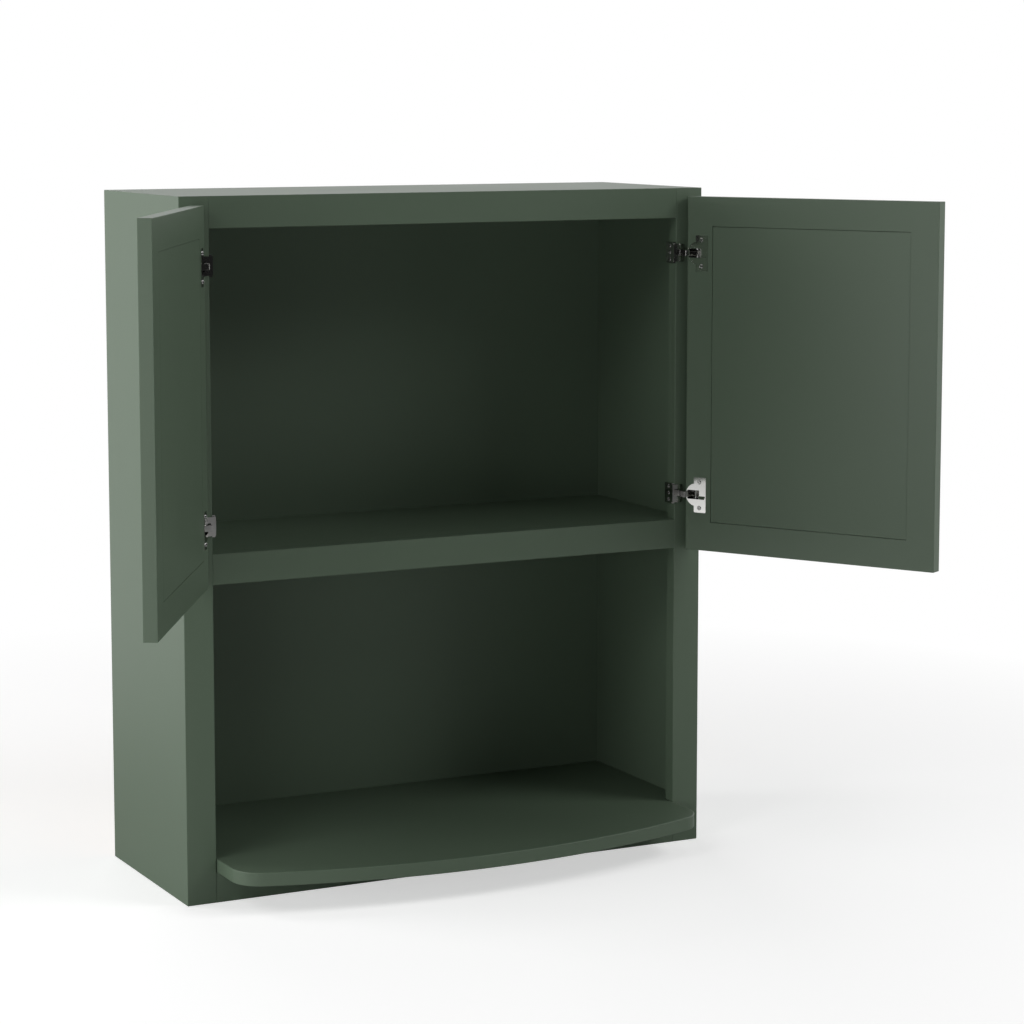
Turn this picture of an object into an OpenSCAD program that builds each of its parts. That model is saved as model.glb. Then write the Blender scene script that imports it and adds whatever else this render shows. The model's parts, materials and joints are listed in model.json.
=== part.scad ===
// Wall microwave cabinet: a pair of doors over an open bay with a bowed shelf.
// X runs along the wall, Y points into the wall and Z is up.
// The origin is on the wall plane, at the middle of the cabinet's bottom edge.
// The doors stand open in the modelled position.

/* [Cabinet] */
// Overall width
cab_w = 762; // [600:1:1000]
// Overall height
cab_h = 914.4; // [850:0.1:1100]
// Depth from the wall to the front of the face frame
cab_d = 282; // [240:1:400]

/* [Carcass panels] */
// Thickness of each side panel
side_t = 12.7; // [10:0.1:19]
// Thickness of the top panel
top_t = 12.7; // [10:0.1:19]
// Thickness of the deck between the cupboard and the bay
deck_t = 12.7; // [10:0.1:19]
// Thickness of the floor panel under the shelf
floor_t = 12.7; // [10:0.1:19]
// Thickness of the back panel
back_t = 12; // [6:0.5:18]
// Depth of the grooves and rebates in the sides that hold the panels
housing_d = 4; // [2:0.5:6]
// Length of the screws that hold the back panel
back_screw_l = 32; // [26:1:40]

/* [Face frame] */
// Thickness of the face frame
frame_t = 19; // [17:0.5:22]
// Width of each stile
stile_w = 40; // [34:1:50]
// Height of the top rail
top_rail_h = 41; // [34:1:60]
// Height of the middle rail
middle_rail_h = 40; // [34:1:60]
// Height of the bottom rail
bottom_rail_h = 40; // [34:1:60]
// Diameter of the dowels that join the rails to the stiles
dowel_d = 8; // [6:1:10]
// Length of the dowels
dowel_l = 30; // [24:1:40]

/* [Microwave shelf] */
// Thickness of the shelf board
shelf_t = 18; // [15:0.5:25]
// How far the bowed front stands past the face frame
shelf_reach = 141.5; // [100:0.5:200]
// Radius of the bowed front
shelf_bow_r = 974; // [700:2:2000]
// Radius of the two front corners
shelf_corner_r = 42; // [20:1:90]
// Gap between the shelf and each stile
shelf_gap = 1; // [0.5:0.5:5]
// Length of the screws that hold the shelf from below
shelf_screw_l = 25; // [20:1:28]

/* [Doors] */
// Height of each door
door_h = 486.6; // [400:0.1:560]
// Thickness of each door
door_t = 18; // [18:0.5:24]
// Cabinet top to door top
door_top_reveal = 11.2; // [5:0.1:30]
// How far the doors reach past the lower edge of the middle rail
door_drop = 0.6; // [0:0.1:5]
// Cabinet side to the hinge edge of a closed door
door_side_reveal = 4; // [2:0.5:10]
// Gap between the closed doors
door_meeting_gap = 3; // [2:0.5:6]
// Gap between a closed door and the face frame
door_frame_gap = 4; // [4:0.5:6]
// Width of the door stiles
door_stile_w = 40; // [38:1:80]
// Height of the door rails
door_rail_h = 40; // [38:1:80]
// Depth of the recess in front of the door panel
panel_recess = 6; // [4:0.5:8]
// Thickness of the tongues on the door rails and panel
tongue_t = 6; // [4:0.5:6]
// Length of the tongues on the door rails and panel
tongue_l = 6; // [4:0.5:6]
// Gap between the door frame and the flush back of the panel
panel_joint = 0.8; // [0.4:0.1:1.5]
// Radius of the door's front edges
door_edge_r = 1.5; // [0.5:0.1:3]
// Chamfer on the inner edge beside the hinges
door_ease = 2; // [2:0.1:3]
// Opening angle shown
door_open = 120; // [0:1:120]

/* [Hinges] */
// Distance from each end of a door to the middle of its hinge
hinge_inset = 77; // [60:1:120]
// Hinge edge of the door to the pivot
pivot_in = 10.7; // [10.4:0.1:11]
// Inner face of the door to the pivot
pivot_depth = 11.2; // [11:0.1:11.5]
// Diameter of the pivot pin
pin_d = 2.5; // [2:0.1:2.6]
// Radius of the rolled eye round the pin
eye_r = 2.2; // [2:0.1:2.3]
// Thickness of the hinge arm
arm_t = 1.3; // [1:0.1:1.4]
// Width of the hinge arm
arm_w = 8; // [6:0.5:8]
// Radius of the bore in the door
cup_r = 15; // [14.8:0.1:15.2]
// Hinge edge of the door to the middle of the bore
cup_in = 17.6; // [17.5:0.1:17.8]
// Depth of the bore
cup_depth = 14.5; // [14.3:0.1:15]
// Thickness of the cup's flange
flange_t = 0.9; // [0.7:0.1:1]
// Height of the cup's flange
flange_h = 49; // [46:1:56]
// Distance between the two screws of a cup
cup_screw_pitch = 36; // [35:0.5:42]
// Height of the base block on the stile
base_h = 28.4; // [26:0.1:34]
// How far the base block stands into the opening
base_t = 4.3; // [3.5:0.1:6]
// Height of the base's front leaf
leaf_h = 24.6; // [20:0.1:28]
// Thickness of the base's front leaf
leaf_t = 2.4; // [2:0.1:2.6]

/* [Hidden] */

// Colours
paint = [0.38, 0.42, 0.37];
raw_wood = [0.76, 0.64, 0.46];
nickel = [0.75, 0.75, 0.74];
black_steel = [0.1, 0.1, 0.1];

// Small values that every piece shares
cut = 1;            // overrun of a cutting shape past the face that it cuts
fit = 0.05;         // radial clearance of a shank or dowel in its hole
left = -1;
right = 1;

// Planes of the carcass and the face frame
carcass_d = cab_d - frame_t;
side_in = cab_w / 2 - side_t;
housed_w = 2 * (side_in + housing_d);
front_y = -cab_d;
frame_mid_y = front_y + frame_t / 2;
stile_in = cab_w / 2 - stile_w;
rail_w = 2 * stile_in;
top_rail_z = cab_h - top_rail_h;
door_z = cab_h - door_top_reveal - door_h;
middle_rail_z = door_z + door_drop;
deck_z = middle_rail_z + middle_rail_h;

// Screws of the carcass, and how far the outermost ones stay from a panel's edges
wood_screw_r = 1.75;
wood_head_r = 3.6;
wood_head_h = 2;
wood_recess_h = 1.2;
back_screw_count = 4;
back_screw_margin = 60;
shelf_screw_margin = 60;
shelf_screw_inset = 50;

// Places along a rail's end where its two dowels sit, as shares of its height
dowel_shares = [0.25, 0.75];

// Shelf outline: the bow's centre, and the centre of a corner that touches the bow and the side
shelf_half_w = stile_in - shelf_gap;
shelf_inner_gap = 0.5;
shelf_inner_w = side_in - shelf_inner_gap;
bow_y = front_y - shelf_reach + shelf_bow_r;
corner_x = shelf_half_w - shelf_corner_r;
corner_y = bow_y - sqrt(pow(shelf_bow_r - shelf_corner_r, 2) - pow(corner_x, 2));
bow_half_angle = asin(corner_x / (shelf_bow_r - shelf_corner_r));
bow_steps = 32;
corner_steps = 12;

// Doors, drawn closed and on the right before they are swung or mirrored
hinge_x = cab_w / 2 - door_side_reveal;
meeting_x = door_meeting_gap / 2;
door_w = hinge_x - meeting_x;
door_y = front_y - door_frame_gap;
panel_back_t = door_t - panel_recess - tongue_t;
groove_slack = 0.4;
pivot = [hinge_x - pivot_in, door_y - pivot_depth];

// Hinge levels
upper = door_z + door_h - hinge_inset;
lower = door_z + hinge_inset;

// Cup: a channel for the arm between two solid lobes that hold the pin
cup_wall = 0.6;
cup_floor_t = 0.8;
channel_h = 12.4;
channel_r = cup_r - cup_wall;
channel_depth = cup_depth - cup_floor_t;
flange_rim = 0.6;
flange_from = cup_in - 3.1;
flange_to = cup_in + cup_r + flange_rim - 0.2;
flange_rim_r = cup_r + flange_rim;
flange_corner_r = 1.5;
pin_l = 24.6;
pin_hole_r = pin_d / 2 + 0.02;
eye_bore_r = pin_d / 2 + fit;
cup_screw_in = cup_in + 5.2;
cup_screw_l = 13;
cup_screw_r = 1.7;
cup_screw_head_r = 3.2;
cup_screw_head_h = 1.3;

// Arm: it leaves the base along the stile, dips into the cup and ends in the eye
arm_play = 0.05;       // gap between the arm and the tunnel's long faces
arm_edge_gap = 0.2;    // gap between the arm's edges and the tunnel
arm_wall_gap = 1;      // gap between the dipping arm and the wall of the cup's channel
arm_eye_drop = 0.9;    // pin's axis to the middle of the strip that carries the eye
arm_end_gap = 2.7;     // gap between the arm's heel and the tunnel's blind end
arm_dip_x = hinge_x - cup_in - sqrt(pow(channel_r, 2) - pow(arm_w / 2, 2)) + arm_wall_gap + arm_t / 2;
arm_stile_x = stile_in - arm_play - arm_t / 2;
arm_front_y = front_y - arm_play - arm_t / 2;
arm_low_y = pivot[1] - arm_eye_drop;

// Base: a block on the stile's inner edge with a leaf that wraps onto its front
base_d = frame_t;
leaf_end_x = arm_dip_x + 4.7;
notch_from_x = arm_dip_x - 3.3;
notch_h = arm_w + 6 * arm_edge_gap;
tunnel_h = arm_w + 2 * arm_edge_gap;
tunnel_t = arm_t + 2 * arm_play;
tunnel_end_wall = 3;
tunnel_end_y = front_y + base_d - tunnel_end_wall;
base_edge_r = 1.2;
base_screw_z = 9.4;
base_screw_r = 1.7;
base_screw_l = 20;
base_head_r = 3.1;
base_head_h = 1;
clamp_r = 1.5;
clamp_head_r = 2.9;

// Spring: a bent leaf that stands on the cup's floor beside the eye
spring_t = 0.6;
spring_w = 8.4;
spring_r = 2.15;
spring_gap = 0.2;
spring_leg = 3.1;
spring_in = pivot_in - eye_r - spring_gap - spring_r;
spring_depth = channel_depth - spring_leg;

// Proportions of a low screw head
head_taper = 0.82;
recess_span = 1.1;
recess_depth = 0.7;

// A rectangle with round corners, made of true arcs
module round_rect(size, r) {
    translate([r, 0]) square([size[0] - 2 * r, size[1]]);
    translate([0, r]) square([size[0], size[1] - 2 * r]);
    for (x = [r, size[0] - r], y = [r, size[1] - r])
        translate([x, y]) circle(r = r, $fn = 32);
}

// A flat bar of thickness t from one plan point to another, with round ends
module bar(a, b, t) {
    run = b - a;
    translate(a) rotate(atan2(run[1], run[0])) translate([0, -t / 2]) square([norm(run), t]);
    for (p = [a, b]) translate(p) circle(d = t, $fn = 24);
}

// A bent strip through a list of plan points
module strip(points, t) {
    for (i = [0:len(points) - 2]) bar(points[i], points[i + 1], t);
}

// Puts a shape that is drawn on the right onto either side
module on_side(side) {
    if (side == right) children();
    else mirror([1, 0, 0]) children();
}

// Swings a shape that is drawn on the closed right door about its pivot, then picks the side
module on_door(side) {
    on_side(side)
        translate([pivot[0], pivot[1], 0]) rotate([0, 0, door_open])
            translate([-pivot[0], -pivot[1], 0]) children();
}

// A countersunk wood screw: the head's face is at the origin and the shank runs down -Z
module countersunk_screw(length, slack = 0) {
    translate([0, 0, -wood_head_h])
        cylinder(r1 = wood_screw_r + slack, r2 = wood_head_r + slack, h = wood_head_h, $fn = 32);
    translate([0, 0, -length]) cylinder(r = wood_screw_r + slack, h = length, $fn = 24);
}

// A cross recess, sunk from the origin down -Z
module cross_recess(span, depth) {
    for (a = [0, 90]) rotate([0, 0, a])
        translate([-span / 2, -span / 8, -depth]) cube([span, span / 4, depth + cut]);
}

// A low-headed screw: the underside of its head is at the origin and the shank runs down -Z
module pan_screw(shank_r, length, head_r, head_h) {
    difference() {
        union() {
            translate([0, 0, -length]) cylinder(r = shank_r, h = length, $fn = 24);
            cylinder(r1 = head_r, r2 = head_r * head_taper, h = head_h, $fn = 32);
        }
        translate([0, 0, head_h]) cross_recess(head_r * recess_span, head_h * recess_depth);
    }
}

// Places the children at each screw of the back panel, head outwards
module at_back_screws() {
    half = side_in - back_screw_margin;
    levels = [cab_h - top_t / 2, deck_z - deck_t / 2, bottom_rail_h - floor_t / 2];
    for (i = [0:back_screw_count - 1], z = levels)
        translate([half * (2 * i / (back_screw_count - 1) - 1), 0, z]) rotate([-90, 0, 0]) children();
}

// Places the children at each screw of the shelf, head downwards
module at_shelf_screws() {
    for (x = [-1, 0, 1] * (stile_in - shelf_screw_margin),
         y = [-back_t - shelf_screw_inset, shelf_screw_inset - carcass_d])
        translate([x, y, bottom_rail_h - floor_t]) rotate([180, 0, 0]) children();
}

// Places the children at each rail end's dowels, with the dowel's middle at the joint
module at_dowels() {
    for (side = [left, right])
        for (rail = [[top_rail_z, top_rail_h], [middle_rail_z, middle_rail_h], [0, bottom_rail_h]])
            for (share = dowel_shares)
                translate([side * stile_in, frame_mid_y, rail[0] + rail[1] * share])
                    rotate([0, 90, 0]) children();
}

module side_panel(side) {
    grooves = [
        [deck_z - deck_t, deck_t],
        [bottom_rail_h - floor_t, floor_t],
        [cab_h - top_t, top_t + cut]
    ];
    color(paint) on_side(side) difference() {
        translate([side_in, -carcass_d, 0]) cube([side_t, carcass_d, cab_h]);
        for (groove = grooves)
            translate([side_in - cut, -carcass_d - cut, groove[0]])
                cube([housing_d + cut, carcass_d + 2 * cut, groove[1]]);
        translate([side_in - cut, -back_t, -cut]) cube([housing_d + cut, back_t + cut, cab_h + 2 * cut]);
    }
}

// A panel that spans the cabinet between the sides, in front of the back panel
module housed_panel(top_z, thickness) {
    translate([-housed_w / 2, -carcass_d, top_z - thickness])
        cube([housed_w, carcass_d - back_t, thickness]);
}

module top_panel() {
    color(paint) difference() {
        housed_panel(cab_h, top_t);
        at_back_screws() countersunk_screw(back_screw_l, fit);
    }
}

module middle_deck() {
    color(paint) difference() {
        housed_panel(deck_z, deck_t);
        at_back_screws() countersunk_screw(back_screw_l, fit);
    }
}

module floor_panel() {
    color(paint) difference() {
        housed_panel(bottom_rail_h, floor_t);
        at_back_screws() countersunk_screw(back_screw_l, fit);
        at_shelf_screws() countersunk_screw(shelf_screw_l, fit);
    }
}

module back_panel() {
    color(paint) difference() {
        translate([-housed_w / 2, -back_t, 0]) cube([housed_w, back_t, cab_h]);
        at_back_screws() countersunk_screw(back_screw_l, fit);
    }
}

module back_screws() {
    color(nickel) at_back_screws() difference() {
        countersunk_screw(back_screw_l);
        cross_recess(wood_head_r * recess_span, wood_recess_h);
    }
}

// Points on an arc about a centre, from one angle to another
function arc(centre, r, from, to, steps) =
    [for (i = [0:steps]) let (a = from + (to - from) * i / steps) centre + r * [cos(a), sin(a)]];

// Right half of the shelf's outline: wide behind the stile, narrower between the stiles, then the corner
function shelf_right_half() = concat(
    [[shelf_inner_w, -back_t], [shelf_inner_w, -carcass_d], [shelf_half_w, -carcass_d]],
    arc([corner_x, corner_y], shelf_corner_r, 0, bow_half_angle - 90, corner_steps)
);

// The whole outline: the right half, the bow and the right half mirrored
function shelf_outline() = let (
    half = shelf_right_half(),
    bow = arc([0, bow_y], shelf_bow_r, bow_half_angle - 90, -bow_half_angle - 90, bow_steps)
) concat(
    half,
    [for (i = [1:bow_steps - 1]) bow[i]],
    [for (i = [len(half) - 1:-1:0]) [-half[i][0], half[i][1]]]
);

module microwave_shelf() {
    color(paint) difference() {
        translate([0, 0, bottom_rail_h]) linear_extrude(shelf_t) polygon(shelf_outline());
        at_shelf_screws() countersunk_screw(shelf_screw_l, fit);
    }
}

module shelf_screws() {
    color(nickel) at_shelf_screws() difference() {
        countersunk_screw(shelf_screw_l);
        cross_recess(wood_head_r * recess_span, wood_recess_h);
    }
}

module frame_stile(side) {
    color(paint) difference() {
        on_side(side) translate([stile_in, front_y, 0]) cube([stile_w, frame_t, cab_h]);
        at_dowels() cylinder(d = dowel_d + 2 * fit, h = dowel_l, center = true, $fn = 32);
        on_side(side) at_hinge_base_screws()
            cylinder(r = base_screw_r + fit, h = 2 * base_screw_l, center = true, $fn = 24);
    }
}

module frame_rail(z, height) {
    color(paint) difference() {
        translate([-rail_w / 2, front_y, z]) cube([rail_w, frame_t, height]);
        at_dowels() cylinder(d = dowel_d + 2 * fit, h = dowel_l, center = true, $fn = 32);
    }
}

module frame_dowels() {
    color(raw_wood) at_dowels() cylinder(d = dowel_d, h = dowel_l, center = true, $fn = 32);
}

// The closed right door's outer shape, with its eased edges
module door_blank() {
    intersection() {
        translate([0, 0, door_z]) linear_extrude(door_h) door_plan_2d();
        translate([meeting_x, 0, 0]) rotate([90, 0, 90]) linear_extrude(door_w)
            translate([door_y - door_t, door_z]) door_profile_2d();
    }
}

// Plan outline: round front edges, and a chamfer beside the hinges
module door_plan_2d() {
    r = door_edge_r;
    difference() {
        union() {
            translate([meeting_x, door_y - door_t + r]) square([door_w, door_t - r]);
            translate([meeting_x + r, door_y - door_t]) square([door_w - 2 * r, door_t]);
            for (x = [meeting_x + r, hinge_x - r])
                translate([x, door_y - door_t + r]) circle(r = r, $fn = 32);
        }
        translate([hinge_x, door_y]) polygon([
            [0, -door_ease], [cut, -door_ease], [cut, cut], [-door_ease, cut], [-door_ease, 0]
        ]);
    }
}

// End outline: depth runs along X from the front face, height runs along Y
module door_profile_2d() {
    r = door_edge_r;
    translate([r, 0]) square([door_t - r, door_h]);
    translate([0, r]) square([door_t, door_h - 2 * r]);
    for (z = [r, door_h - r]) translate([r, z]) circle(r = r, $fn = 32);
}

// The space that the tongues of the rails and the panel fill, cut into a stile or rail
module panel_groove(slack) {
    reach = tongue_l + slack;
    low = [meeting_x + door_stile_w - reach, door_y - panel_back_t - tongue_t, door_z + door_rail_h - reach];
    translate(low)
        cube([door_w - 2 * door_stile_w + 2 * reach, tongue_t, door_h - 2 * door_rail_h + 2 * reach]);
}

// The full-height slot in each stile for the rails' tongues
module tenon_groove(slack) {
    reach = tongue_l + slack;
    translate([meeting_x + door_stile_w - reach, door_y - panel_back_t - tongue_t, door_z - cut])
        cube([door_w - 2 * door_stile_w + 2 * reach, tongue_t, door_h + 2 * cut]);
}

// Places the children at each hinge level of a closed right door
module at_hinges() {
    for (z = [upper, lower]) translate([0, 0, z]) children();
}

// Places the children at a cup's two screws, with the head's underside on the flange
module at_cup_screws() {
    for (s = [-1, 1])
        translate([hinge_x - cup_screw_in, door_y + flange_t, s * cup_screw_pitch / 2])
            rotate([-90, 0, 0]) children();
}

module door_hinge_stile(side) {
    color(paint) on_door(side) difference() {
        intersection() {
            door_blank();
            translate([hinge_x - door_stile_w, door_y - door_t - cut, door_z - cut])
                cube([door_stile_w + cut, door_t + 2 * cut, door_h + 2 * cut]);
        }
        tenon_groove(groove_slack);
        at_hinges() {
            translate([hinge_x - cup_in, door_y + cut, 0]) rotate([90, 0, 0])
                cylinder(r = cup_r, h = cup_depth + cut, $fn = 64);
            at_cup_screws() cylinder(r = cup_screw_r + fit, h = 2 * cup_screw_l, center = true, $fn = 24);
        }
    }
}

module door_lock_stile(side) {
    color(paint) on_door(side) difference() {
        intersection() {
            door_blank();
            translate([meeting_x - cut, door_y - door_t - cut, door_z - cut])
                cube([door_stile_w + cut, door_t + 2 * cut, door_h + 2 * cut]);
        }
        tenon_groove(groove_slack);
    }
}

// A door rail from height z: its body between the stiles, and a tongue at each end
module door_rail(side, z) {
    color(paint) on_door(side) difference() {
        intersection() {
            door_blank();
            union() {
                translate([meeting_x + door_stile_w, door_y - door_t - cut, z])
                    cube([door_w - 2 * door_stile_w, door_t + 2 * cut, door_rail_h]);
                translate([meeting_x + door_stile_w - tongue_l, door_y - panel_back_t - tongue_t, z])
                    cube([door_w - 2 * door_stile_w + 2 * tongue_l, tongue_t, door_rail_h]);
            }
        }
        panel_groove(groove_slack);
    }
}

module door_panel(side) {
    edge_x = door_stile_w + panel_joint;
    edge_z = door_rail_h + panel_joint;
    color(paint) on_door(side) {
        translate([meeting_x + edge_x, door_y - panel_back_t, door_z + edge_z])
            cube([door_w - 2 * edge_x, panel_back_t, door_h - 2 * edge_z]);
        panel_groove(0);
    }
}

// Places the children at a base's two wood screws: the shank runs into the stile
module at_hinge_base_screws() {
    for (z = [upper, lower], s = [-1, 1])
        translate([stile_in - base_t, frame_mid_y, z + s * base_screw_z]) rotate([0, -90, 0]) children();
}

// Places the children at each base's clamp screw
module at_clamp_screws() {
    for (z = [upper, lower])
        translate([stile_in - base_t, frame_mid_y, z]) rotate([0, -90, 0]) children();
}

module hinge_base(side, level) {
    leaf_w = leaf_end_x - stile_in + base_t;
    color(nickel) on_side(side) difference() {
        translate([0, 0, level]) union() {
            // Block against the inner edge of the stile
            translate([stile_in - base_t, front_y, -base_h / 2]) base_block();
            // Leaf on the front of the stile
            translate([stile_in - base_t, front_y, -leaf_h / 2]) rotate([90, 0, 0])
                linear_extrude(leaf_t) round_rect([leaf_w, leaf_h], base_edge_r);
        }
        translate([0, 0, level]) {
            // Notch that the arm comes out of
            translate([notch_from_x, front_y - leaf_t - cut, -notch_h / 2])
                cube([leaf_end_x - notch_from_x + cut, leaf_t + 2 * cut, notch_h]);
            // Tunnel for the arm, under the leaf and along the stile
            translate([stile_in - tunnel_t, front_y - tunnel_t, -tunnel_h / 2])
                cube([tunnel_t + cut, tunnel_end_y - front_y + tunnel_t, tunnel_h]);
            translate([stile_in - tunnel_t, front_y - tunnel_t, -tunnel_h / 2])
                cube([notch_from_x - stile_in + tunnel_t + cut, tunnel_t + cut, tunnel_h]);
        }
        at_hinge_base_screws() cylinder(r = base_screw_r + fit, h = 4 * base_t, center = true, $fn = 24);
        at_clamp_screws() cylinder(r = clamp_r + fit, h = 4 * base_t, center = true, $fn = 24);
    }
}

// The block's outline, with its two corners inside the cabinet rounded
module base_block() {
    intersection() {
        cube([base_t, base_d, base_h]);
        rotate([90, 0, 0]) translate([0, 0, -base_d - cut]) linear_extrude(base_d + 2 * cut)
            round_rect([2 * base_t, base_h], base_edge_r);
    }
}

// Plan of the arm, from its heel in the base to the eye
module arm_plan_2d() {
    strip([
        [arm_stile_x, tunnel_end_y - arm_end_gap],
        [arm_stile_x, arm_front_y],
        [arm_dip_x, arm_front_y],
        [arm_dip_x, arm_low_y],
        [pivot[0], arm_low_y]
    ], arm_t);
    translate(pivot) circle(r = eye_r, $fn = 32);
}

module hinge_arm(side, level) {
    color(nickel) on_side(side) difference() {
        translate([0, 0, level - arm_w / 2]) linear_extrude(arm_w) arm_plan_2d();
        translate([pivot[0], pivot[1], level])
            cylinder(r = eye_bore_r, h = 2 * arm_w, center = true, $fn = 32);
    }
}

// Outline of the cup's flange, seen from inside the cabinet: X along the door, Y up
module flange_2d() {
    intersection() {
        union() {
            circle(r = flange_rim_r, $fn = 64);
            translate([cup_in - flange_to, -flange_h / 2])
                round_rect([flange_to - flange_from, flange_h], flange_corner_r);
        }
        translate([cup_in - flange_to, -flange_h]) square([2 * flange_to, 2 * flange_h]);
    }
}

module hinge_cup(side, level) {
    color(nickel) on_door(side) translate([hinge_x - cup_in, door_y, level]) difference() {
        union() {
            rotate([90, 0, 0]) cylinder(r = cup_r - fit, h = cup_depth, $fn = 64);
            rotate([90, 0, 0]) translate([0, 0, -flange_t]) linear_extrude(flange_t) flange_2d();
        }
        // Channel that the arm folds into
        intersection() {
            translate([0, flange_t + cut, 0]) rotate([90, 0, 0])
                cylinder(r = channel_r, h = channel_depth + flange_t + cut, $fn = 64);
            translate([-cup_r, -channel_depth - cut, -channel_h / 2])
                cube([2 * cup_r, channel_depth + flange_t + 3 * cut, channel_h]);
        }
        // Bore for the pin, through both lobes
        translate([cup_in - pivot_in, -pivot_depth, 0])
            cylinder(r = pin_hole_r, h = 3 * cup_r, center = true, $fn = 32);
        translate([cup_in - hinge_x, -door_y, 0]) at_cup_screws()
            cylinder(r = cup_screw_r + fit, h = 4 * flange_t, center = true, $fn = 24);
    }
}

module hinge_pin(side, level) {
    color(nickel) on_door(side) translate([pivot[0], pivot[1], level])
        cylinder(d = pin_d, h = pin_l, center = true, $fn = 32);
}

module hinge_spring(side, level) {
    color(black_steel) on_door(side)
        translate([hinge_x - spring_in, door_y - spring_depth, level - spring_w / 2])
            linear_extrude(spring_w) {
                difference() {
                    circle(r = spring_r, $fn = 48);
                    circle(r = spring_r - spring_t, $fn = 48);
                    translate([-2 * spring_r, -4 * spring_r]) square([4 * spring_r, 4 * spring_r]);
                }
                for (x = [-spring_r, spring_r - spring_t])
                    translate([x, -spring_leg]) square([spring_t, spring_leg]);
            }
}

module hinge_base_screws() {
    color(nickel) for (side = [left, right]) on_side(side) at_hinge_base_screws()
        pan_screw(base_screw_r, base_screw_l, base_head_r, base_head_h);
}

module hinge_clamp_screws() {
    color(nickel) for (side = [left, right]) on_side(side) at_clamp_screws()
        pan_screw(clamp_r, base_t - tunnel_t, clamp_head_r, base_head_h);
}

module cup_screws(side) {
    color(nickel) on_door(side) at_hinges() at_cup_screws()
        pan_screw(cup_screw_r, cup_screw_l, cup_screw_head_r, cup_screw_head_h);
}

side_panel(left);  // left_side_panel
side_panel(right);  // right_side_panel
top_panel();
middle_deck();
floor_panel();
back_panel();
microwave_shelf();
frame_stile(left);  // frame_left_stile
frame_stile(right);  // frame_right_stile
frame_rail(top_rail_z, top_rail_h);  // frame_top_rail
frame_rail(middle_rail_z, middle_rail_h);  // frame_middle_rail
frame_rail(0, bottom_rail_h);  // frame_bottom_rail
frame_dowels();
back_screws();
shelf_screws();
door_hinge_stile(left);  // left_door_hinge_stile
door_lock_stile(left);  // left_door_lock_stile
door_rail(left, door_z + door_h - door_rail_h);  // left_door_top_rail
door_rail(left, door_z);  // left_door_bottom_rail
door_panel(left);  // left_door_panel
door_hinge_stile(right);  // right_door_hinge_stile
door_lock_stile(right);  // right_door_lock_stile
door_rail(right, door_z + door_h - door_rail_h);  // right_door_top_rail
door_rail(right, door_z);  // right_door_bottom_rail
door_panel(right);  // right_door_panel
hinge_base(left, upper);  // left_upper_hinge_base
hinge_base(left, lower);  // left_lower_hinge_base
hinge_base(right, upper);  // right_upper_hinge_base
hinge_base(right, lower);  // right_lower_hinge_base
hinge_arm(left, upper);  // left_upper_hinge_arm
hinge_arm(left, lower);  // left_lower_hinge_arm
hinge_arm(right, upper);  // right_upper_hinge_arm
hinge_arm(right, lower);  // right_lower_hinge_arm
hinge_cup(left, upper);  // left_upper_hinge_cup
hinge_cup(left, lower);  // left_lower_hinge_cup
hinge_cup(right, upper);  // right_upper_hinge_cup
hinge_cup(right, lower);  // right_lower_hinge_cup
hinge_pin(left, upper);  // left_upper_hinge_pin
hinge_pin(left, lower);  // left_lower_hinge_pin
hinge_pin(right, upper);  // right_upper_hinge_pin
hinge_pin(right, lower);  // right_lower_hinge_pin
hinge_spring(left, upper);  // left_upper_hinge_spring
hinge_spring(left, lower);  // left_lower_hinge_spring
hinge_spring(right, upper);  // right_upper_hinge_spring
hinge_spring(right, lower);  // right_lower_hinge_spring
hinge_base_screws();
hinge_clamp_screws();
cup_screws(left);  // left_cup_screws
cup_screws(right);  // right_cup_screws
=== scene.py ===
"""Dresses a wall microwave cabinet: painted wood, plated hinges and screws, in a pale studio.

Everything is in metres in the cabinet's own frame. X runs along the wall, Y points into the wall, Z is up,
and the origin is on the wall plane at the middle of the cabinet's bottom edge. The doors stand open.
"""

from __future__ import annotations

import json
import logging
import math
from dataclasses import dataclass
from enum import Enum
from typing import Callable, Iterable, Sequence

import bmesh
import bpy
from mathutils import Matrix, Vector

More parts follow.
